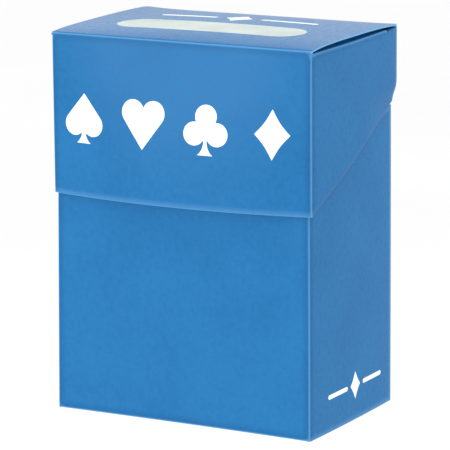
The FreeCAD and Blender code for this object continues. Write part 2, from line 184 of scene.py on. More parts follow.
def settle_body(spots):
    """The body's sides splay and belly out, its front bows out to the rim and its foot drops."""
    x, y, z = spots[..., X], spots[..., Y], spots[..., Z]
    across = np.clip(x / WALL, -1, 1)
    side = (across + 1) / 2
    up = np.clip(z / LID_EDGE, 0, 1)
    tuck = TUCK * smooth((z - LID_EDGE + TUCK_LEAD) / TUCK_REACH)
    left = blend_value(BODY_LEFT_LOW, BODY_LEFT_HIGH, up) + tuck
    right = blend_value(BODY_RIGHT_LOW, BODY_RIGHT_HIGH, up)
    moved_x = x + blend_value(left, right, side) + belly(across, y) - curl(across, y)
    bow = RIM_BOW * np.clip((z - BEND) / (FRONT_RIM - BEND), 0, 1) ** RIM_BOW_POWER
    near_front = smooth((FRONT + 3 * BEND - y) / BEND)
    moved_y = y - bow * (1 - across**2) * near_front
    drop = FOOT_DROP * side**FOOT_DROP_POWER * (1 - FOOT_DROP_FADE * (y - FRONT) / DEPTH)
    moved_z = z - drop * np.clip(1 - z / FOOT_DROP_REACH, 0, 1)
    return np.stack([moved_x, moved_y, moved_z], axis=-1)


def puff(v):
    """Share of its rise that the lid's top has at v, from 0 at its front crease to 1 at its back.

    It falls off more steeply to the front than to the back.
    """
    off = np.abs(2 * v - 1)
    return 1 - np.where(v < 0.5, off**4, off**3)


def back_sag(across):
    """How far the lid's back crease lies lower, most of all left of its middle."""
    side = (across + 1) / 2
    ends = blend_value(REAR_SAG_LEFT, REAR_SAG_RIGHT, side)
    return ends + REAR_SAG_MIDDLE * (1 - across**SIDE_POWER) * (1 - side / 2)


def settle_lid(spots, roof=False):
    """The lid's front bows, its back leans, its sides rise and its roof domes."""
    x, y, z = spots[..., X], spots[..., Y], spots[..., Z]
    across = np.clip(x / LID_WALL, -1, 1)
    side = (across + 1) / 2
    rear = smooth((y - (BACK - REAR_FADE)) / REAR_FADE)
    rise = smooth((z - HINGE_HIGH) / (LEAN_LEVEL - HINGE_HIGH))
    drop = np.clip((LID_CREASE - z) / (LID_CREASE - LID_EDGE), 0, 1)
    bow = CREASE_BOW + (EDGE_BOW - CREASE_BOW) * np.sin(drop * math.pi / 2)
    near_front = smooth((LID_FRONT + BOW_FADE - y) / BOW_FADE)
    moved_y = y + LEAN * rise * rear - bow * (1 - across**2) * near_front
    up = np.clip((z - LID_EDGE) / (TOP - LID_EDGE), 0, 1)
    left = blend_value(LID_LEFT_LOW, LID_LEFT_HIGH, up)
    right = blend_value(LID_RIGHT_LOW, LID_RIGHT_HIGH, up)
    pinch = smooth((y - (BACK - PINCH_START)) / PINCH_START) * (1 - rise)
    pinch = pinch * blend_value(LEFT_PINCH, 1, side)
    narrow = (LID_INNER_WALL - INNER_WALL) * outward(across, PINCH_POWER) * pinch
    moved_x = x + blend_value(left, right, side) - narrow
    moved_x = moved_x + belly(across, y) - curl(across, y) * rise
    v = np.clip((y - LID_FRONT) / (BACK - LID_FRONT), 0, 1)
    sag = back_sag(across)
    if roof:
        edges = blend_value(TOP_LEFT, TOP_RIGHT, side) * puff(v)
        dome = TOP_MIDDLE * (1 - across**2) * (1 - (2 * v - 1) ** 2)
        moved_z = z + edges + dome - sag * v**4
    else:
        rise_front = blend_value(SIDE_RISE_FRONT_LEFT, SIDE_RISE_FRONT_RIGHT, side)
        lift = blend_value(rise_front, SIDE_RISE_BACK, v**3)
        lift = lift * np.abs(across) ** SIDE_RISE_POWER
        lift = lift * smooth((y - FRONT) / BEND / 2)
        moved_z = z + up**2 * (lift - sag * rear) + FRONT_RAISE * (1 - up)
    return np.stack([moved_x, moved_y, moved_z], axis=-1)


def settle_dust(spots):
    """The dust flaps meet the side creases, and rise to the roof's underside behind them."""
    plain, roof = settle_lid(spots), settle_lid(spots, roof=True)
    inward = 1 - smooth((np.abs(spots[..., X]) - LID_WALL + DUST_CLIMB_END) / DUST_CLIMB)
    plain[..., Z] += inward * (roof[..., Z] - plain[..., Z])
    return plain


def settle_roof(spots):
    return settle_lid(spots, roof=True)


def settle_nothing(spots):
    return spots


# ---------------------------------------------------------------- sheet pieces

ROUND = 0.14  # radius of a cut edge
MOST_ROUND = 0.45  # and the largest share of the sheet that it takes from each face
RINGS = (0.0, 0.04, ROUND)  # places of the grid across a cut edge's rounding
STEP, FINE_STEP = 1.5, 0.6  # size of the grid's cells, and beside rounded corners
CUT_REACH = 0.13  # how far the paleness of a cut edge, partly a painted highlight, reaches onto the face
CREASE_SHADE_REACH = 0.4  # and the painted shade line beside a crease, where its pressed groove lies
SHARP = math.radians(50)  # edges with a larger angle are shaded as sharp
FAR = 1e3  # stands for a distance to an edge that a piece doesn't have


def places(start, end, cut_start=False, cut_end=False, step=STEP):
    """Grid places from start to end, with extra ones in the rounding of a cut edge."""
    sign = 1 if end > start else -1
    first = start + sign * (ROUND if cut_start else 0)
    last = end - sign * (ROUND if cut_end else 0)
    count = max(1, math.ceil(abs(last - first) / step))
    inner = list(np.linspace(first, last, count + 1))
    head = [start + sign * ring for ring in RINGS[:-1]] if cut_start else []
    tail = [end - sign * ring for ring in RINGS[-2::-1]] if cut_end else []
    return np.array(head + inner + tail)


def rounded_places(half, radius, step):
    """Grid places from -half to half, closer together beside rounded corners at both ends."""
    edge = places(0.0, radius, True, step=step)
    between = places(radius - half, half - radius)[1:-1]
    return np.concatenate([edge - half, between, half - edge[::-1]])


def rounding(distance):
    """How far a face drops away at this distance from a cut edge."""
    rest = np.clip(ROUND - distance, 0, ROUND)
    return ROUND - np.sqrt(ROUND**2 - rest**2)


def link_mesh(mesh):
    """An object for a mesh, shaded smooth up to its sharp edges."""
    mesh.polygons.foreach_set("use_smooth", [True] * len(mesh.polygons))
    mesh.set_sharp_from_angle(angle=SHARP)
    piece = bpy.data.objects.new(mesh.name, mesh)
    bpy.context.scene.collection.objects.link(piece)
    return piece


def new_object(name, vertices, faces, attributes=None):
    mesh = bpy.data.meshes.new(name)
    mesh.from_pydata([tuple(v) for v in vertices], [], faces)
    for label, values in (attributes or {}).items():
        mesh.attributes.new(label, "FLOAT", "POINT").data.foreach_set(
            "value", np.asarray(values, np.float32)
        )
    work = bmesh.new()
    work.from_mesh(mesh)
    bmesh.ops.recalc_face_normals(work, faces=work.faces)
    work.to_mesh(mesh)
    work.free()
    return link_mesh(mesh)


def grid_faces(rows, columns, offset=0):
    return [
        (
            offset + i * columns + j,
            offset + (i + 1) * columns + j,
            offset + (i + 1) * columns + j + 1,
            offset + i * columns + j + 1,
        )
        for i in range(rows - 1)
        for j in range(columns - 1)
    ]


def closed_grid(outer, inner):
    """Vertices and faces of the closed solid between two grids of the same shape."""
    rows, columns = outer.shape[:2]
    count = rows * columns
    faces = grid_faces(rows, columns)
    faces += [face[::-1] for face in grid_faces(rows, columns, count)]
    rim = [i * columns for i in range(rows)]
    rim += [(rows - 1) * columns + j for j in range(1, columns)]
    rim += [i * columns + columns - 1 for i in range(rows - 2, -1, -1)]
    rim += list(range(columns - 2, 0, -1))
    for k, here in enumerate(rim):
        after = rim[(k + 1) % len(rim)]
        faces.append((here, after, after + count, here + count))
    vertices = np.concatenate([outer.reshape(-1, 3), inner.reshape(-1, 3)])
    return vertices, faces


def sheet_piece(
    node, body, surface, s, t_low, t_high, cuts="", folds="", settle=None, crease=None,
    cut_pale_and_highlight=1.0, look=None,
):
    """A closed piece of sheet that stands for one CAD node.

    surface(s, t, depth) gives spots at that depth under the outer face. t_low and t_high are
    the ends of t at each s. cuts and folds name the sides of the grid, s, S, t and T for the
    low and high ends, that are cut edges or join a fold. crease gives a fold's own marks, the
    next argument says how pale the cut edges are, and look is a slot, not used, and a material.
    """
    low_t = np.array([t_low(v) for v in s], float)
    high_t = np.array([t_high(v) for v in s], float)
    cut_low, cut_high = "t" in cuts, "T" in cuts
    spread = float(np.max(high_t - low_t))
    pattern = places(0.0, spread, cut_low, cut_high)
    margin_low = ROUND if cut_low else 0.0
    margin_high = ROUND if cut_high else 0.0
    T = np.empty((len(s), len(pattern)))
    for i in range(len(s)):
        length = high_t[i] - low_t[i]
        inner = (pattern - margin_low) / (spread - margin_low - margin_high)
        row = margin_low + inner * (length - margin_low - margin_high)
        row = np.where(pattern < margin_low, pattern, row)
        row = np.where(pattern > spread - margin_high, length - (spread - pattern), row)
        T[i] = low_t[i] + row
    S = np.repeat(np.asarray(s, float)[:, None], T.shape[1], axis=1)
    far = np.full(S.shape, FAR)
    sides = {
        "s": np.abs(S - s[0]),
        "S": np.abs(s[-1] - S),
        "t": (T - low_t[:, None]) * slope_factor(s, low_t)[:, None],
        "T": (high_t[:, None] - T) * slope_factor(s, high_t)[:, None],
    }
    to_cut = np.minimum.reduce([far] + [sides[k] for k in cuts])
    to_fold = np.minimum.reduce([far] + [sides[k] for k in folds])
    drop = np.minimum(rounding(to_cut), FILM * MOST_ROUND)
    settle = settle or (settle_lid if body == "lid" else settle_body)
    outer = settle(np.stack(surface(S, T, drop), axis=-1))
    inner = settle(np.stack(surface(S, T, FILM - drop), axis=-1))
    vertices, faces = closed_grid(outer * MM, inner * MM)
    # pale cut edges, partly the sheet's pale cut face and partly a painted highlight
    cut = cut_pale_and_highlight * np.exp(-((to_cut / CUT_REACH) ** 2)).ravel()
    # painted shade along the pressed lines beside the folds
    press = np.exp(-((to_fold / CREASE_SHADE_REACH) ** 2)).ravel()
    ridge = np.zeros(S.size)
    # a fold's own marks: a pale ridge, partly a painted highlight, and painted shade beside it
    if crease:
        ridge, press = (values.ravel() for values in crease(S))
    piece = new_object(
        "visual_" + node, vertices, faces,
        {"cut": np.tile(cut, 2), "crease": np.tile(ridge, 2), "press": np.tile(press, 2)},
    )
    finish_piece(piece, node, body, *(look or ("blue_sheet", BLUE)))


def slope_factor(s, ends):
    """Cosine of a grid side's slope, which turns a distance along t into a true one."""
    if len(s) < 2:
        return np.ones(len(s))
    return 1 / np.sqrt(1 + np.gradient(ends, s) ** 2)


def finish_piece(piece, node, body, slot, material):
    piece.data.materials.clear()
    piece.data.materials.append(material)
    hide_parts(node)
    if body:
        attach(piece, body)


# ---------------------------------------------------------------- surfaces of the pieces


def level(value):
    return lambda s: value


def flat(axis, face, out):
    """Surface in the plane where that axis is face, with its outside along out (1 or -1).

    s and t run along the other two axes, in the order X, Y, Z.
    """

    def surface(s, t, depth):
        place = np.full(s.shape, face) - out * depth
        return {X: (place, s, t), Y: (s, place, t), Z: (s, t, place)}[axis]

    return surface


def arc(axis, centre, start, radius):
    """Quarter tube along an axis: s is the angle in degrees past start, t runs along it."""

    def surface(s, t, depth):
        angle = np.radians(start + s)
        first = centre[0] + (radius - depth) * np.cos(angle)
        second = centre[1] + (radius - depth) * np.sin(angle)
        return {X: (t, first, second), Y: (second, t, first), Z: (first, second, t)}[axis]

    return surface


QUARTER = np.linspace(0, 90, 13)
MIDDLE_ANGLE = 45
RIDGE_WIDTH, LINE_WIDTH = 15, 18  # of a crease's pale ridge, partly a painted highlight, and of the painted shade lines beside it, in degrees


def fold_marks(angle):
    """Whitening along the middle of a crease, partly stress whitening and partly a painted
    highlight, and painted shade lines on both sides of it, where it is pressed.
    """
    off = np.abs(angle - MIDDLE_ANGLE)
    ridge = np.exp(-((off / RIDGE_WIDTH) ** 2))
    return ridge, np.exp(-(((off - MIDDLE_ANGLE) / LINE_WIDTH) ** 2))


def fold_piece(node, body, axis, centre, start, t_low, t_high, radius=BEND, settle=None):
    """A crease of the sheet. Its two long sides join panels and its ends are cut."""
    sheet_piece(
        node, body, arc(axis, centre, start, radius), QUARTER,
        level(t_low), level(t_high), cuts="tT", settle=settle, crease=fold_marks,
    )


def rim(y):
    """Height of the body's sloping side rim."""
    side_rim = high("right_side_panel", Z)
    return FRONT_RIM + (side_rim - FRONT_RIM) * (y - FRONT) / (FREE_EDGE - FRONT)


def slant(y):
    """Height of the lid's slanted side edge."""
    straight = LID_EDGE + (HINGE_LEVEL - LID_EDGE) * (y - FRONT) / DEPTH
    return straight + SLANT_RAISE + SLANT_CURVE * float(smooth((y - SLANT_START) / SLANT_REACH))


def corner_cut(distance, radius):
    """How far a rounded corner takes an edge back, at this distance from its end."""
    rest = np.clip(radius - distance, 0, radius)
    return radius - math.sqrt(max(radius**2 - rest**2, 0))


FLAP_CORNER = 5.0


def folded_flap(node, body, face, out, sign, root, low_y, high_y, settle=None):
    """A flap that is folded in from a side, with rounded corners at its tip.

    face is the level of its outer face, and root is where it joins its fold along X.
    """
    tip = low(node, X) if sign > 0 else high(node, X)
    ends = (tip, root) if sign > 0 else (root, tip)

    def cut(x):
        return corner_cut(abs(x - tip), FLAP_CORNER)

    sheet_piece(
        node, body, flat(Z, face, out), places(*ends, sign > 0, sign < 0, step=FINE_STEP),
        lambda x: low_y + cut(x), lambda x: high_y - cut(x),
        cuts="stT" if sign > 0 else "StT", folds="S" if sign > 0 else "s", settle=settle,
    )


# ---------------------------------------------------------------- materials


def node_tree(name):
    material = bpy.data.materials.new(name)
    material.use_nodes = True
    tree = material.node_tree
    tree.nodes.clear()
    return material, tree


def add(tree, kind, **values):
    node = tree.nodes.new(kind)
    for label, value in values.items():
        if label in node.inputs:
            node.inputs[label].default_value = value
        else:
            setattr(node, label, value)
    return node


def noise(tree, coordinates, scale, detail=2.0, rough=0.5):
    node = add(tree, "ShaderNodeTexNoise", Scale=scale, Detail=detail, Roughness=rough)
    tree.links.new(coordinates.outputs["Object"], node.inputs["Vector"])
    return node.outputs["Fac"]


def remap(tree, source, low_in, high_in, low_out, high_out):
    node = add(tree, "ShaderNodeMapRange")
    for place, value in zip(range(1, 5), (low_in, high_in, low_out, high_out)):
        node.inputs[place].default_value = value
    tree.links.new(source, node.inputs[0])
    return node.outputs[0]


def spread_noise(tree, source, low_out=0.0, high_out=1.0):
    """Spreads the range where nearly all of a noise lies over another one."""
    return remap(tree, source, 0.3, 0.7, low_out, high_out)


def math_node(tree, operation, a, b):
    node = add(tree, "ShaderNodeMath", operation=operation)
    for place, value in enumerate((a, b)):
        if isinstance(value, (int, float)):
            node.inputs[place].default_value = value
        else:
            tree.links.new(value, node.inputs[place])
    return node.outputs[0]


def mix_colour(tree, factor, a, b):
    node = add(tree, "ShaderNodeMix", data_type="RGBA")
    sockets = {socket.identifier: socket for socket in node.inputs}
    for key, value in (("Factor_Float", factor), ("A_Color", a), ("B_Color", b)):
        if isinstance(value, bpy.types.NodeSocket):
            tree.links.new(value, sockets[key])
        else:
            sockets[key].default_value = value
    outputs = {socket.identifier: socket for socket in node.outputs}
    return outputs["Result_Color"]


def attribute(tree, label):
    node = add(tree, "ShaderNodeAttribute", attribute_name=label)
    return node.outputs["Fac"]


def marked(tree, colour, label, share, over):
    """The colour with this share of another one, where a piece's attribute marks it."""
    factor = math_node(tree, "MULTIPLY", attribute(tree, label), share)
    return mix_colour(tree, factor, colour, over)


def shader(tree, colour, roughness, bump, **values):
    node = add(tree, "ShaderNodeBsdfPrincipled", **values)
    output = add(tree, "ShaderNodeOutputMaterial")
    tree.links.new(colour, node.inputs["Base Color"])
    tree.links.new(roughness, node.inputs["Roughness"])
    tree.links.new(bump, node.inputs["Normal"])
    tree.links.new(node.outputs[0], output.inputs["Surface"])


def bump_of(tree, height, strength, distance):
    node = add(tree, "ShaderNodeBump", Strength=strength, Distance=distance)
    tree.links.new(height, node.inputs["Height"])
    return node.outputs["Normal"]


# painted shade: dark blue laid on the pressed lines beside creases, where their grooves are in
# shade
PAINTED_CREASE_SHADE = (0, 0.02, 0.08, 1)
SHEET_GRAIN = 0.00003  # depth of the grain on a sheet's faces, in metres


def plastic(name, deep, pale, edge, grain_depth=SHEET_GRAIN):
    """Dyed sheet with a fine grain, soft mottling, pale cut edges and whitened creases, both
    partly painted highlights, and painted shade beside the creases.

    Its low IOR keeps the sheen thin, as on a sheet with a fine matt grain.
    """
    material, tree = node_tree(name)
    coordinates = add(tree, "ShaderNodeTexCoord")
    grain = noise(tree, coordinates, scale=1500, detail=3, rough=0.6)
    cloud = noise(tree, coordinates, scale=55)
    speck = noise(tree, coordinates, scale=700, rough=0.7)
    mottle, fine = spread_noise(tree, cloud), spread_noise(tree, speck)
    shade = math_node(tree, "MULTIPLY", mottle, 0.5)
    shade = math_node(tree, "ADD", shade, math_node(tree, "MULTIPLY", fine, 0.5))
    colour = mix_colour(tree, shade, deep, pale)
    # painted shade on the pressed lines beside creases
    colour = marked(tree, colour, "press", 0.2, PAINTED_CREASE_SHADE)
    # pale creases and cut edges: partly the sheet's own whitening, partly painted highlights
    colour = marked(tree, colour, "crease", 0.5, edge)
    colour = marked(tree, colour, "cut", 0.8, edge)
    roughness = spread_noise(tree, speck, 0.24, 0.34)
    bump = bump_of(tree, grain, 0.6, grain_depth)
    shader(tree, colour, roughness, bump, IOR=1.13)
    return material


# the last colour, for creases and cut edges, is partly the sheet's whitening and partly a painted
# highlight
BLUE = plastic(
    "blue_sheet", (0.016, 0.132, 0.330, 1), (0.021, 0.160, 0.385, 1), (0.18, 0.42, 0.72, 1)
)


def frosted_material():
    """Milky divider sheet: pale, with a fine sand-blasted grain."""
    material, tree = node_tree("frosted_sheet")
    coordinates = add(tree, "ShaderNodeTexCoord")
    grain = noise(tree, coordinates, scale=1800, detail=3, rough=0.65)
    cloud = noise(tree, coordinates, scale=70)
    shade = spread_noise(tree, cloud)
    colour = mix_colour(tree, shade, (0.72, 0.77, 0.80, 1), (0.80, 0.84, 0.86, 1))
    colour = marked(tree, colour, "cut", 0.6, (0.93, 0.95, 0.96, 1))
    roughness = spread_noise(tree, grain, 0.42, 0.58)
    bump = bump_of(tree, grain, 0.6, SHEET_GRAIN)
    shader(
        tree, colour, roughness, bump,
        **{"IOR": 1.49, "Transmission Weight": 0.35, "Specular IOR Level": 0.4},
    )
    return material


def glue_material():
    """Clear glue, rippled and a little cloudy."""
    material, tree = node_tree("clear_glue")
    coordinates = add(tree, "ShaderNodeTexCoord")
    ripple = noise(tree, coordinates, scale=420, detail=3, rough=0.6)
    shade = spread_noise(tree, ripple)
    colour = mix_colour(tree, shade, (0.55, 0.60, 0.60, 1), (0.75, 0.78, 0.76, 1))
    roughness = spread_noise(tree, ripple, 0.12, 0.3)
    bump = bump_of(tree, ripple, 0.6, 0.00005)
    shader(
        tree, colour, roughness, bump,
        **{"IOR": 1.48, "Transmission Weight": 0.5, "Specular IOR Level": 0.5},
    )
    return material


def ink_material():
    """White screen ink: dense and slightly uneven, with small thin spots, or duller if matt."""
    material, tree = node_tree("white_ink")
    coordinates = add(tree, "ShaderNodeTexCoord")
    cloud = noise(tree, coordinates, scale=160, detail=3, rough=0.6)
    speck = noise(tree, coordinates, scale=2600, rough=0.7)
    uneven = remap(tree, cloud, 0.35, 0.65, 0.0, 1.0)
    colour = mix_colour(tree, uneven, (0.78, 0.86, 0.86, 1), (0.86, 0.92, 0.91, 1))
    matt = mix_colour(tree, uneven, (0.48, 0.545, 0.53, 1), (0.56, 0.62, 0.595, 1))
    colour = mix_colour(tree, attribute(tree, "matt"), colour, matt)
    thin = remap(tree, speck, 0.68, 0.8, 0.0, 0.5)
    colour = mix_colour(tree, thin, colour, (0.40, 0.55, 0.70, 1))
    roughness = spread_noise(tree, speck, 0.5, 0.7)
    bump = bump_of(tree, speck, 0.4, 0.00001)
    shader(tree, colour, roughness, bump, **{"IOR": 1.5, "Specular IOR Level": 0.35})
    return material


FROSTED = frosted_material()
CLEAR_GLUE = glue_material()
WHITE_INK = ink_material()
HINGE_BLUE = plastic(
    "hinge_sheet", (0.075, 0.27, 0.60, 1), (0.10, 0.33, 0.66, 1), (0.28, 0.55, 0.88, 1),
    grain_depth=0.00006,
)


# ---------------------------------------------------------------- the body

half_front = high("front_panel", X)
sheet_piece(
    "front_panel", "box", flat(Y, FRONT, -1), places(-half_front, half_front),
    level(BEND), level(FRONT_RIM), cuts="T", folds="sSt",
)
half_back = high("back_panel", X)
sheet_piece(
    "back_panel", "box", flat(Y, BACK, 1), places(-half_back, half_back),
    level(BEND), level(HINGE_LOW), folds="sStT",
)
half_bottom = high("bottom_panel", X)
sheet_piece(
    "bottom_panel", "box", flat(Z, 0.0, -1), places(-half_bottom, half_bottom, True, True),
    level(FRONT + BEND), level(BACK - BEND), cuts="sS", folds="tT",
)
fold_piece(
    "bottom_front_fold", "box", X, (FRONT + BEND, BEND), 180, -half_bottom, half_bottom
)
fold_piece("bottom_back_fold", "box", X, (BACK - BEND, BEND), 270, -half_back, half_back)

SIDES = (("left", -1), ("right", 1))


def body_side(side, sign):
    """One side of the body: its outer and inner ply, its bottom flap and their creases."""
    sheet_piece(
        f"{side}_side_panel", "box", flat(X, sign * WALL, sign),
        places(FRONT + BEND, FREE_EDGE, False, True),
        level(SIDE_FOOT), rim, cuts="StT", folds="s",
    )
    fold_y = BACK - BACK_BEND
    sheet_piece(
        f"{side}_side_liner", "box", flat(X, sign * INNER_WALL, sign),
        places(LINER_FRONT, fold_y, True, False),
        level(LINER_FOOT), lambda y: min(rim(y), HINGE_LOW), cuts="sT", folds="St",
    )
    flap, root = f"{side}_bottom_flap", sign * (INNER_WALL - BEND)
    folded_flap(flap, "box", FLAP_LEVEL, -1, sign, root, low(flap, Y), high(flap, Y))
    fold_piece(
        f"{side}_flap_fold", "box", Y, (LINER_FOOT, root), 90 if sign > 0 else 180,
        low(f"{side}_flap_fold", Y), high(f"{side}_flap_fold", Y),
    )
    fold_piece(
        f"front_{side}_fold", "box", Z, (sign * (WALL - BEND), FRONT + BEND),
        270 if sign > 0 else 180, SIDE_FOOT, FRONT_RIM,
    )
    fold_piece(
        f"back_{side}_fold", "box", Z, (sign * (INNER_WALL - BACK_BEND), fold_y),
        0 if sign > 0 else 90, SIDE_FOOT, HINGE_LOW, radius=BACK_BEND,
    )


# ---------------------------------------------------------------- the lid

lid_half_front = high("lid_front_panel", X)
sheet_piece(
    "lid_front_panel", "lid", flat(Y, LID_FRONT, -1), places(-lid_half_front, lid_half_front),
    level(LID_EDGE), level(LID_CREASE), cuts="t", folds="sST",
)
ROOF_CORNER, ROOF_CORNER_STEP = 1.8, 0.3


def roof_back(x):
    """The lid's top is cut back a little beside its back corners."""
    return BACK - BEND - corner_cut(LID_WALL - abs(x), ROOF_CORNER)


sheet_piece(
    "lid_top_panel", "lid", flat(Z, TOP, 1),
    rounded_places(LID_WALL, ROOF_CORNER, ROOF_CORNER_STEP),
    level(LID_FRONT + BEND), roof_back, cuts="sS", folds="tT", settle=settle_roof,
)
fold_piece(
    "lid_top_front_fold", "lid", X, (LID_FRONT + BEND, LID_CREASE), 90,
    -LID_WALL, LID_WALL, settle=settle_roof,
)
fold_piece(
    "lid_top_back_fold", "lid", X, (BACK - BEND, LID_CREASE), 0,
    ROOF_CORNER - LID_WALL, LID_WALL - ROOF_CORNER, settle=settle_roof,
)
lid_half_back = high("lid_back_panel", X)
sheet_piece(
    "lid_back_panel", "lid", flat(Y, BACK, 1), places(-lid_half_back, lid_half_back),
    level(HINGE_HIGH), level(LID_CREASE), folds="sStT",
)


DUST_END = high("lid_right_dust_flap", Y)
UNDER_ROOF = LID_CREASE - 0.1
FLAP_RISE, SIDE_RISE, FLAP_FALL = 1.5, 0.8, 2.0  # lengths over which these edges change height
SLANT_CUT_PALENESS = 0.1  # the cut edges of the lid's sides get hardly any of the pale edge and its painted highlight


def flap_top(y):
    """The lid's back flaps rise behind the dust flaps."""
    return blend_value(FLAP_TOP, UNDER_ROOF, float(smooth((y - DUST_END) / FLAP_RISE)))


def flap_foot(y):
    """The lid's back flaps end above the body's rim, and reach down to the hinge at the fold."""
    near_fold = smooth((y - (BACK - BACK_BEND - FLAP_FALL)) / FLAP_FALL)
    return blend_value(low("lid_right_back_flap", Z), HINGE_HIGH, float(near_fold))


def side_top(y):
    """The lid's sides stand up to the roof behind the dust folds."""
    return blend_value(LID_SIDE_TOP, UNDER_ROOF, float(smooth((y - DUST_END) / SIDE_RISE)))


def lid_side(side, sign):
    """One side of the lid: its outer and inner ply, its dust flap and their creases."""
    sheet_piece(
        f"lid_{side}_side_panel", "lid", flat(X, sign * LID_WALL, sign),
        places(LID_FRONT + BEND, LID_FREE_EDGE, False, True),
        slant, side_top, cuts="St", folds="stT", cut_pale_and_highlight=SLANT_CUT_PALENESS,
    )
    fold_piece(
        f"lid_front_{side}_fold", "lid", Z, (sign * (LID_WALL - BEND), LID_FRONT + BEND),
        270 if sign > 0 else 180, LID_EDGE, LID_CREASE,
    )
    dust, root = f"lid_{side}_dust_flap", sign * (LID_WALL - BEND)
    dust_low, dust_high = low(dust, Y), min(high(dust, Y), LID_FREE_EDGE)
    fold_piece(
        f"lid_{side}_dust_fold", "lid", Y, (LID_SIDE_TOP, root),
        0 if sign > 0 else 270, dust_low, dust_high, settle=settle_dust,
    )
    folded_flap(dust, "lid", DUST_TOP, 1, sign, root, dust_low, dust_high, settle=settle_dust)
    flap = f"lid_{side}_back_flap"
    fold_y = BACK - BACK_BEND
    sheet_piece(
        flap, "lid", flat(X, sign * LID_INNER_WALL, sign),
        places(low(flap, Y), fold_y, True, False),
        flap_foot, flap_top, cuts="stT", folds="S",
    )
    fold_piece(
        f"lid_back_{side}_fold", "lid", Z, (sign * (LID_INNER_WALL - BACK_BEND), fold_y),
        0 if sign > 0 else 90, HINGE_HIGH, flap_top(BACK), radius=BACK_BEND,
    )


for side_name, side_sign in SIDES:
    body_side(side_name, side_sign)
    lid_side(side_name, side_sign)


# ---------------------------------------------------------------- hinge, glue and divider


HINGE_GROOVE = 0.06  # depth of the line pressed into the hinge's outer face
HINGE_WEAR = 0.8  # how much the hinge is whitened


def hinge_web():
    """The living hinge: a thin web, pressed from inside, between body and lid."""
    half = high("lid_hinge_web", X)
    s = places(-half, half)
    t = np.linspace(HINGE_LOW, HINGE_HIGH, 13)
    S, T = np.meshgrid(s, t, indexing="ij")
    inward = 1 - np.abs(T - HINGE_LEVEL) / (HINGE_HIGH - HINGE_LEVEL)
    groove = HINGE_GROOVE * smooth(inward)
    outer = settle_body(np.stack([S, BACK - groove, T], axis=-1))
    press = (FILM - HINGE_FILM) * smooth(inward * 2)
    inner = settle_body(np.stack([S, BACK - FILM + press, T], axis=-1))
    vertices, faces = closed_grid(outer * MM, inner * MM)
    count = len(vertices)
    piece = new_object(
        "visual_lid_hinge_web", vertices, faces,
        {"cut": np.zeros(count), "crease": np.full(count, HINGE_WEAR)},
    )
    finish_piece(piece, "lid_hinge_web", None, "hinge_sheet", HINGE_BLUE)
    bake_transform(piece)


GLUE_STEP, GLUE_MARGIN = 1.2, 0.6
GLUE_TIP, GLUE_TIP_NARROW = 1.5, 1.2  # length of a glue line's round ends, and how far they narrow
RIM_GLUE_GAP = 2.0  # the body's glue lines end this far under its rim


def glue_strip(node, body, face, sign, top):
    """A thin glue line, squeezed out a little unevenly along its sides."""
    low_y, high_y = low(node, Y), min(high(node, Y), LID_FREE_EDGE, FREE_EDGE)
    z = places(low(node, Z), top(low_y), step=GLUE_STEP)
    rows = np.linspace(0, 1, 7)
    wobble = 0.35 * np.sin(z * 0.9) + 0.2 * np.sin(z * 2.3 + 1)
    tip = np.clip(np.minimum(z - z[0], z[-1] - z) / GLUE_TIP, 0, 1)
    narrow = GLUE_TIP_NARROW * (1 - np.sqrt(1 - (1 - tip) ** 2))
    start = low_y + GLUE_MARGIN + wobble * 0.8 + narrow
    end = high_y - GLUE_MARGIN + wobble * 0.5 - narrow
    Y_grid = start[:, None] + (end - start)[:, None] * rows[None, :]
    Z_grid = np.repeat(z[:, None], len(rows), axis=1)
    settle = settle_lid if body == "lid" else settle_body
    outer = settle(np.stack([np.full(Y_grid.shape, face), Y_grid, Z_grid], axis=-1))
    below = np.full(Y_grid.shape, face - sign * GLUE)
    inner = settle(np.stack([below, Y_grid, Z_grid], axis=-1))
    vertices, faces = closed_grid(outer * MM, inner * MM)
    piece = new_object("visual_" + node, vertices, faces)
    finish_piece(piece, node, body, "clear_glue", CLEAR_GLUE)


DIVIDER_CORNER, DIVIDER_CORNER_STEP = 3.0, 0.4
DIVIDER_WARP = 0.25


def divider():
    """The loose divider, with rounded corners and a slight warp of its own."""
    half = high("card_divider", X)
    foot, head = low("card_divider", Z), high("card_divider", Z)
    face = high("card_divider", Y)

    def surface(s, t, depth):
        warp = DIVIDER_WARP * (1 - (s / half) ** 2)
        return s, face - depth - warp, t

    def cut(x):
        return corner_cut(half - abs(x), DIVIDER_CORNER)

    sheet_piece(
        "card_divider", "divider", surface,
        rounded_places(half, DIVIDER_CORNER, DIVIDER_CORNER_STEP),
        lambda x: foot + cut(x), lambda x: head - cut(x), cuts="sStT",
        settle=settle_nothing, look=("frosted_sheet", FROSTED),
    )


hinge_web()
for side_name, side_sign in SIDES:
    glue_strip(
        f"{side_name}_glue_strip", "box", side_sign * (WALL - FILM), side_sign,
        lambda y: rim(y) - RIM_GLUE_GAP,
    )
    glue_strip(
        f"lid_{side_name}_glue_strip", "lid", side_sign * (LID_WALL - FILM), side_sign,
        level(high(f"lid_{side_name}_glue_strip", Z)),
    )
divider()


# ---------------------------------------------------------------- print

INK_SINK, INK_RISE = 0.02, 0.05  # how far the ink reaches under and over the face
INK_CELL = 1.5  # it is divided into cells of this size, so that it can follow a bowed face
CLOSE = 1e-5  # points nearer to each other than this are one

# The suits and the diamond are drawn one unit high, around their middle.
CIRCLE_SPOTS, PILL_SPOTS, DIAMOND_SPOTS = 28, 40, 12
WAIST = 0.035  # half the width of a stem where it leaves the lobes of a spade or a club


def circle_spots(centre, radius, start, end, count=CIRCLE_SPOTS):
    """Spots on a circle, from one angle to another, in degrees."""
    angles = np.radians(np.linspace(start, end, count))
    return [(centre[0] + radius * math.cos(a), centre[1] + radius * math.sin(a))
            for a in angles]


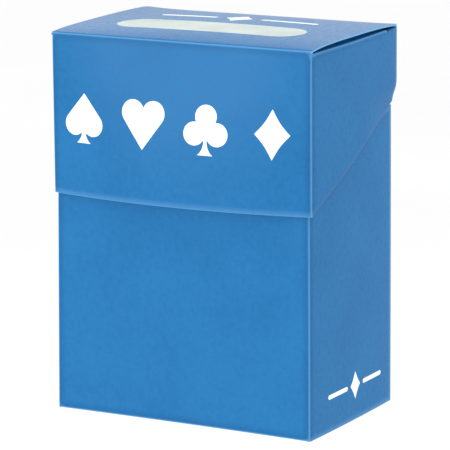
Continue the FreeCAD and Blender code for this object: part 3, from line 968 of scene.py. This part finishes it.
def tangent_degrees(centre, radius, tip):
    """Where the line from a tip above or below touches the far side of a circle."""
    dx, dy = tip[0] - centre[0], tip[1] - centre[1]
    towards = math.degrees(math.atan2(dy, dx))
    opening = math.degrees(math.acos(radius / math.hypot(dx, dy)))
    return towards + opening if dy < 0 else towards - opening


def both_halves(half):
    """A closed outline from its right half, which starts and ends on the middle line."""
    return half + [(-x, y) for x, y in reversed(half) if x > 1e-6]


def stem():
    """Right half of the stem of a spade or a club, which flares out to its foot."""
    flare = [(WAIST, -0.26), (0.045, -0.31), (0.06, -0.36), (0.085, -0.41), (0.12, -0.46)]
    return flare + [(0.17, -0.5), (0.0, -0.5)]


DIAMOND_HALF_WIDTH, DIAMOND_HOLLOW = 0.37, 0.1


def diamond():
    """Four slightly hollow sides between the tips."""
    tips = [(0.0, 0.5), (DIAMOND_HALF_WIDTH, 0.0), (0.0, -0.5)]
    spots = []
    for (x0, y0), (x1, y1) in zip(tips, tips[1:]):
        for k in range(DIAMOND_SPOTS):
            t = k / DIAMOND_SPOTS
            pull = 1 - DIAMOND_HOLLOW * math.sin(math.pi * t)
            spots.append(((x0 + (x1 - x0) * t) * pull, (y0 + (y1 - y0) * t) * pull))
    return both_halves(spots + [tips[-1]])


def heart():
    centre, radius, tip = (0.235, 0.23), 0.255, (0.0, -0.5)
    touch = tangent_degrees(centre, radius, tip)
    notch = math.degrees(math.acos(-centre[0] / radius))
    return both_halves([tip] + circle_spots(centre, radius, touch, notch))


def spade():
    centre, radius, tip = (0.22, -0.12), 0.235, (0.0, 0.5)
    touch = tangent_degrees(centre, radius, tip)
    root = -math.degrees(math.acos((WAIST - centre[0]) / radius))
    return both_halves([tip] + circle_spots(centre, radius, touch, root) + stem())


def club():
    crown, lobe, radius = (0.0, 0.265), (0.245, -0.08), 0.235
    dx, dy = lobe[0] - crown[0], lobe[1] - crown[1]
    towards = math.degrees(math.atan2(dy, dx))
    half_angle = math.degrees(math.acos(math.hypot(dx, dy) / 2 / radius))
    root = -math.degrees(math.acos((WAIST - lobe[0]) / radius))
    spots = circle_spots(crown, radius, 90, towards + half_angle)
    spots += circle_spots(lobe, radius, towards + 180 - half_angle, root)[1:]
    return both_halves(spots + stem())


def pill(length, width):
    """A bar with round ends."""
    half, radius = (length - width) / 2, width / 2
    right = circle_spots((half, 0), radius, 90, -90, PILL_SPOTS)
    return right + [(-x, -y) for x, y in right]


RULE_LENGTH, RULE_GAP = 0.32, 0.05  # shares of an ornament's nominal length
RULE_WIDTH = 0.16  # share of its height
RULE_SHARE = 0.888  # share of its nominal length that the rules reach


def ornament(full_length, height):
    """A diamond between two thin rules, as in the CAD."""
    length = full_length / RULE_SHARE
    shift = DIAMOND_HALF_WIDTH * height + (RULE_GAP + RULE_LENGTH / 2) * length
    rule = pill(RULE_LENGTH * length, RULE_WIDTH * height)
    scaled = [(x * height, y * height) for x, y in diamond()]
    moved = [[(x + way * shift, y) for x, y in rule] for way in (-1, 1)]
    return [scaled] + moved


def divided(outline):
    """A flat mesh inside an outline, cut along the lines of the cells."""
    part = bmesh.new()
    part.faces.new([part.verts.new((a, b, 0)) for a, b in outline])
    bmesh.ops.triangulate(part, faces=part.faces[:])
    for axis, values in enumerate(zip(*outline)):
        cut = math.floor(min(values) / INK_CELL) * INK_CELL + INK_CELL
        while cut < max(values) - INK_RISE:
            spot, normal = [0, 0, 0], [0, 0, 0]
            spot[axis], normal[axis] = cut, 1
            bmesh.ops.bisect_plane(
                part, geom=part.verts[:] + part.edges[:] + part.faces[:],
                plane_co=spot, plane_no=normal, dist=CLOSE,
            )
            cut += INK_CELL
    return part


def ink_piece(node, body, outlines, place, settle, matt=0.0):
    """Closed ink solids on a face. place(a, b, rise) turns outline spots into flat ones."""
    work = bmesh.new()
    for outline in outlines:
        part = divided(outline)
        made = [work.verts.new(v.co) for v in part.verts]
        part.verts.index_update()
        for face in part.faces:
            work.faces.new([made[v.index] for v in face.verts])
        part.free()
    bmesh.ops.remove_doubles(work, verts=work.verts[:], dist=CLOSE)
    grown = bmesh.ops.extrude_face_region(work, geom=work.faces[:])
    raised = {v for v in grown["geom"] if isinstance(v, bmesh.types.BMVert)}
    work.verts.ensure_lookup_table()
    flat_spots = np.array([
        place(v.co.x, v.co.y, INK_RISE if v in raised else -INK_SINK) for v in work.verts
    ])
    settled = settle(flat_spots) * MM
    for vertex, spot in zip(work.verts, settled):
        vertex.co = spot
    bmesh.ops.recalc_face_normals(work, faces=work.faces)
    mesh = bpy.data.meshes.new("visual_" + node)
    work.to_mesh(mesh)
    work.free()
    shades = mesh.attributes.new("matt", "FLOAT", "POINT").data
    shades.foreach_set("value", [matt] * len(mesh.vertices))
    finish_piece(link_mesh(mesh), node, body, "white_ink", WHITE_INK)


SUIT_HEIGHT, SUIT_PITCH, SUIT_LEVEL = 12.5, 17.6, 76.0
suits = [
    [((number - 1.5) * SUIT_PITCH + x * SUIT_HEIGHT, y * SUIT_HEIGHT) for x, y in outline]
    for number, outline in enumerate((spade(), heart(), club(), diamond()))
]
ink_piece(
    "front_print", "lid", suits, lambda a, b, rise: (a, LID_FRONT - rise, SUIT_LEVEL + b),
    settle_lid,
)
ink_piece(
    "write_on_bar", "lid", [pill(extent("write_on_bar", X), extent("write_on_bar", Y))],
    lambda a, b, rise: (a, middle("write_on_bar", Y) + b, TOP + rise), settle_roof, matt=1.0,
)
ink_piece(
    "top_print", "lid", ornament(extent("top_print", X), extent("top_print", Y)),
    lambda a, b, rise: (a, middle("top_print", Y) + b, TOP + rise), settle_roof,
)
ink_piece(
    "side_print", "box", ornament(extent("side_print", Y), extent("side_print", Z)),
    lambda a, b, rise: (
        WALL + rise, middle("side_print", Y) + a, middle("side_print", Z) + b,
    ),
    settle_body,
)


# ---------------------------------------------------------------- floor, light and camera


FLOOR_HALF, FLOOR_LEVEL = 6000.0, -0.5  # in metres: wide, and well under the box


def floor():
    """A pale matt floor, with a faint unevenness."""
    material, tree = node_tree("pale_floor")
    coordinates = add(tree, "ShaderNodeTexCoord")
    cloud = noise(tree, coordinates, scale=3)
    shade = spread_noise(tree, cloud)
    colour = mix_colour(tree, shade, (0.96, 0.96, 0.96, 1), (0.98, 0.98, 0.98, 1))
    fine = noise(tree, coordinates, scale=300)
    shader(
        tree, colour, spread_noise(tree, fine, 0.8, 0.95),
        bump_of(tree, fine, 0.05, 0.0001), **{"Specular IOR Level": 0.1},
    )
    corners = [(-1, -1), (1, -1), (1, 1), (-1, 1)]
    piece = new_object(
        "floor", [(x * FLOOR_HALF, y * FLOOR_HALF, FLOOR_LEVEL) for x, y in corners],
        [(0, 1, 2, 3)],
    )
    piece.data.materials.append(material)


def world_light(strength, colour):
    world = bpy.data.worlds.new("studio")
    world.use_nodes = True
    background = world.node_tree.nodes["Background"]
    background.inputs["Color"].default_value = (*colour, 1)
    background.inputs["Strength"].default_value = strength
    bpy.context.scene.world = world


def area_light(name, place, target, size, watts, colour=(1, 1, 1)):
    data = bpy.data.lights.new(name, "AREA")
    data.shape = "RECTANGLE"
    data.size, data.size_y = size
    data.energy = watts
    data.color = colour
    light = bpy.data.objects.new(name, data)
    light.location = place
    way = Vector(target) - Vector(place)
    light.rotation_euler = way.to_track_quat("-Z", "Y").to_euler()
    bpy.context.scene.collection.objects.link(light)


def camera():
    """Seen from the front right and a little above, at the photograph's angle."""
    turn, rise, roll = (math.radians(v) for v in (28.778, 11.857, -0.554))
    target = Vector((-1.663, -0.8, 46.459)) * MM
    distance, lens, shift = 917.376 * MM, 289.69, 0.0141
    back = Vector((
        math.sin(turn) * math.cos(rise), -math.cos(turn) * math.cos(rise), math.sin(rise),
    ))
    right = Vector((math.cos(turn), math.sin(turn), 0))
    up = back.cross(right)
    across = right * math.cos(roll) + up * math.sin(roll)
    upright = back.cross(across)
    data = bpy.data.cameras.new("camera")
    data.lens, data.sensor_width, data.shift_x = lens, 36.0, shift
    data.clip_start, data.clip_end = 0.05, 50.0
    view = bpy.data.objects.new("camera", data)
    turned = Matrix((across, upright, back)).transposed().to_4x4()
    view.matrix_world = Matrix.Translation(target + back * distance) @ turned
    bpy.context.scene.collection.objects.link(view)
    bpy.context.scene.camera = view


floor()
world_light(1.0, (1.0, 1.0, 1.0))
area_light("key", (-0.6, -1.3, 0.19), (0, 0, 0.08), (0.8, 0.3), 8.5)
area_light("side", (1.0, 1.05, 0.17), (0, 0, 0.05), (0.5, 0.3), 4)
area_light("top", (0.35, -0.2, 1.4), (0, 0, 0.08), (0.5, 0.5), 5)
area_light("back", (-0.7, 1.5, 0.7), (0, 0, 0.08), (1.6, 0.8), 2.5)
camera()
bpy.context.scene.view_settings.view_transform = "Standard"
